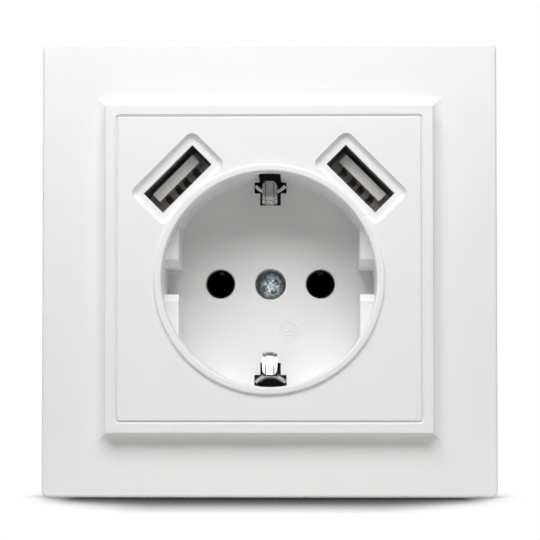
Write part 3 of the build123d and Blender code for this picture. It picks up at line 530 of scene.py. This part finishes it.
def make_claw_threads(zinc):
    """Thread ridge wound round the shank of each claw screw."""
    low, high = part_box("claw_screw_right")
    start = low.y + CLAW_THREAD_START
    length = high.y - start - CLAW_THREAD_PITCH
    turns = length / CLAW_THREAD_PITCH
    for body in ("claw_screw_right", "claw_screw_left"):
        box_low, box_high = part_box(body)
        axis_x = (box_low.x + box_high.x) / 2
        lengths = {"Radius": CLAW_SHANK_R, "Length": length, "Turns": turns}
        tree, given, out = node_tree("thread_" + body, lengths)
        helix = tree.nodes.new("GeometryNodeCurveSpiral")
        helix.inputs["Resolution"].default_value = CLAW_THREAD_STEPS
        tree.links.new(given.outputs["Turns"], helix.inputs["Rotations"])
        tree.links.new(given.outputs["Radius"], helix.inputs["Start Radius"])
        tree.links.new(given.outputs["Radius"], helix.inputs["End Radius"])
        tree.links.new(given.outputs["Length"], helix.inputs["Height"])
        section = tree.nodes.new("GeometryNodeCurvePrimitiveCircle")
        section.inputs["Resolution"].default_value = CLAW_THREAD_SIDES
        section.inputs["Radius"].default_value = CLAW_THREAD_DEPTH
        sweep = tree.nodes.new("GeometryNodeCurveToMesh")
        sweep.inputs["Fill Caps"].default_value = True
        tree.links.new(helix.outputs["Curve"], sweep.inputs["Curve"])
        tree.links.new(section.outputs["Curve"], sweep.inputs["Profile Curve"])
        close_tree(tree, sweep.outputs["Mesh"], out, zinc)
        thread = piece_from_tree("thread_" + body, tree, zinc)
        for vertex in thread.data.vertices:
            x, z, along = vertex.co
            vertex.co = (axis_x + x, start + along, -z)
        face_outwards(thread.data)
        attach(thread, body)


def make_studio():
    """White floor under the socket's lower edge, white surroundings and the four lamps."""
    low = cad_box[0]
    bpy.ops.mesh.primitive_plane_add(size=FLOOR_SIDE, location=(0, 0, low.z))
    floor = bpy.context.object
    floor.name = "floor"
    floor.data.materials.append(floor_white())
    light_surroundings()
    add_lamp("key_lamp", KEY_PLACE, (0, 0, 0), KEY_SIZE, KEY_POWER)
    add_lamp("back_lamp", BACK_PLACE, (0, 0, 0), BACK_SIZE, BACK_POWER)
    across, forwards, up = SIDE_PLACE
    add_lamp("right_lamp", (across, forwards, up), (0, 0, 0), SIDE_SIZE, SIDE_POWER)
    add_lamp("left_lamp", (-across, forwards, up), (0, 0, 0), SIDE_SIZE, SIDE_POWER)


def seen_rays(tree):
    """One for rays that show the surroundings: straight, mirrored and through glass."""
    path = tree.nodes.new("ShaderNodeLightPath")
    seen = path.outputs["Is Camera Ray"]
    for name in ("Is Glossy Ray", "Is Transmission Ray"):
        larger = tree.nodes.new("ShaderNodeMath")
        larger.operation = "MAXIMUM"
        tree.links.new(seen, larger.inputs[0])
        tree.links.new(path.outputs[name], larger.inputs[1])
        seen = larger.outputs["Value"]
    return seen


def floor_white():
    """White floor that darkens only where the socket stands close to it: a painted shadow set into the
    glow that the camera and reflections see.
    """
    material = bpy.data.materials.new("floor_white")
    material.use_nodes = True
    tree = material.node_tree
    tree.nodes.clear()
    out = tree.nodes.new("ShaderNodeOutputMaterial")
    paint = tree.nodes.new("ShaderNodeBsdfDiffuse")
    tree.links.new(floor_tone(tree), paint.inputs["Color"])
    near = tree.nodes.new("ShaderNodeAmbientOcclusion")
    near.samples = SHADOW_SAMPLES
    near.inputs["Distance"].default_value = SHADOW_REACH
    shade = tree.nodes.new("ShaderNodeValToRGB")
    for number, (openness, level) in enumerate(SHADOW_LEVELS):
        stop = shade.color_ramp.elements[0] if number == 0 else shade.color_ramp.elements.new(openness)
        stop.position = openness
        stop.color = (level, level, level, 1)
    shade.color_ramp.elements.remove(shade.color_ramp.elements[-1])
    tree.links.new(thin_sideways(tree, near.outputs["AO"]), shade.inputs["Fac"])
    # The painted shadow goes into the floor's glow, which only the camera and reflections see
    glow = tree.nodes.new("ShaderNodeEmission")
    tree.links.new(end_sideways(tree, ease_behind(tree, shade.outputs["Color"])), glow.inputs["Color"])
    choose = tree.nodes.new("ShaderNodeMixShader")
    tree.links.new(seen_rays(tree), choose.inputs["Fac"])
    tree.links.new(paint.outputs["BSDF"], choose.inputs[1])
    tree.links.new(glow.outputs["Emission"], choose.inputs[2])
    tree.links.new(choose.outputs["Shader"], out.inputs["Surface"])
    return material


def floor_tone(tree):
    """Colour of the floor, which throws more light back up near the socket than farther off."""
    coords = tree.nodes.new("ShaderNodeTexCoord")
    distance = tree.nodes.new("ShaderNodeVectorMath")
    distance.operation = "LENGTH"
    tree.links.new(coords.outputs["Object"], distance.inputs[0])
    mix = tree.nodes.new("ShaderNodeMix")
    mix.data_type = "RGBA"
    mix.inputs["A"].default_value = (*FLOOR_NEAR, 1)
    mix.inputs["B"].default_value = (*FLOOR_FAR, 1)
    off = spread(tree, distance.outputs["Value"], 0.0, 1.0, FLOOR_NEAR_END, FLOOR_FAR_START)
    tree.links.new(off, mix.inputs["Factor"])
    return mix.outputs["Result"]


def sideways(tree):
    """Distance of a place on the floor from the socket's middle, to the left or right."""
    coords = tree.nodes.new("ShaderNodeTexCoord")
    split = tree.nodes.new("ShaderNodeSeparateXYZ")
    tree.links.new(coords.outputs["Object"], split.inputs["Vector"])
    away = tree.nodes.new("ShaderNodeMath")
    away.operation = "ABSOLUTE"
    tree.links.new(split.outputs["X"], away.inputs[0])
    return away.outputs["Value"]


def thin_sideways(tree, openness):
    """Draws the floor's shade closer to the socket towards its left and right corners."""
    thin = tree.nodes.new("ShaderNodeMapRange")
    thin.inputs["From Min"].default_value = SHADOW_DARKEST
    thin.inputs["To Min"].default_value = SHADOW_DARKEST
    thin.inputs["To Max"].default_value = 1.0
    reach = spread(tree, sideways(tree), 1.0, SHADOW_THIN, SHADOW_MIDDLE, SHADOW_SIDE)
    tree.links.new(reach, thin.inputs["From Max"])
    tree.links.new(openness, thin.inputs["Value"])
    return thin.outputs["Result"]


def end_sideways(tree, shade):
    """Lets the floor's shade end at the socket's left and right corners."""
    mix = tree.nodes.new("ShaderNodeMix")
    mix.data_type = "RGBA"
    mix.inputs["A"].default_value = (1, 1, 1, 1)
    cover = spread(tree, sideways(tree), 1.0, 0.0, SHADOW_FADE, SHADOW_END)
    tree.links.new(cover, mix.inputs["Factor"])
    tree.links.new(shade, mix.inputs["B"])
    return mix.outputs["Result"]


def ease_behind(tree, shade):
    """Makes the floor's shade paler behind the frame, under the insert."""
    coords = tree.nodes.new("ShaderNodeTexCoord")
    split = tree.nodes.new("ShaderNodeSeparateXYZ")
    tree.links.new(coords.outputs["Object"], split.inputs["Vector"])
    mix = tree.nodes.new("ShaderNodeMix")
    mix.data_type = "RGBA"
    mix.inputs["B"].default_value = (1, 1, 1, 1)
    ease = spread(tree, split.outputs["Y"], 0.0, SHADOW_BACK_EASE, SHADOW_FRONT_Y, SHADOW_BACK_Y)
    tree.links.new(ease, mix.inputs["Factor"])
    tree.links.new(shade, mix.inputs["A"])
    return mix.outputs["Result"]


def light_surroundings():
    """Surroundings that look white and light the socket from all sides at a low level."""
    world = bpy.data.worlds.new("surroundings")
    bpy.context.scene.world = world
    world.use_nodes = True
    tree = world.node_tree
    background = tree.nodes["Background"]
    background.inputs["Color"].default_value = (1, 1, 1, 1)
    level = tree.nodes.new("ShaderNodeMapRange")
    level.inputs["To Min"].default_value = AMBIENT
    level.inputs["To Max"].default_value = 1.0
    tree.links.new(seen_rays(tree), level.inputs["Value"])
    tree.links.new(level.outputs["Result"], background.inputs["Strength"])


def add_lamp(name, place, aim, size, power):
    """Soft rectangular lamp that points at a place."""
    data = bpy.data.lights.new(name, "AREA")
    data.shape = "RECTANGLE"
    data.size, data.size_y = size
    data.energy = power
    lamp = bpy.data.objects.new(name, data)
    bpy.context.collection.objects.link(lamp)
    lamp.location = place
    lamp.rotation_euler = (Vector(aim) - Vector(place)).to_track_quat("-Z", "Y").to_euler()


def make_camera():
    """Camera with the photograph's view."""
    data = bpy.data.cameras.new("camera")
    data.sensor_width = CAMERA_SENSOR
    data.lens = CAMERA_LENS
    data.shift_y = CAMERA_RAISE
    camera = bpy.data.objects.new("camera", data)
    bpy.context.collection.objects.link(camera)
    camera.location = CAMERA_PLACE
    camera.rotation_euler = (radians(90 + CAMERA_TILT), 0, radians(CAMERA_PAN))
    bpy.context.scene.camera = camera


bpy.context.scene.view_settings.view_transform = "Standard"
finishes = dress_nodes()
make_earth_sign(finishes["white_moulding"])
make_screw_head(finishes["blue_zinc"])
make_claw_threads(finishes["screw_zinc"])
make_studio()
make_camera()
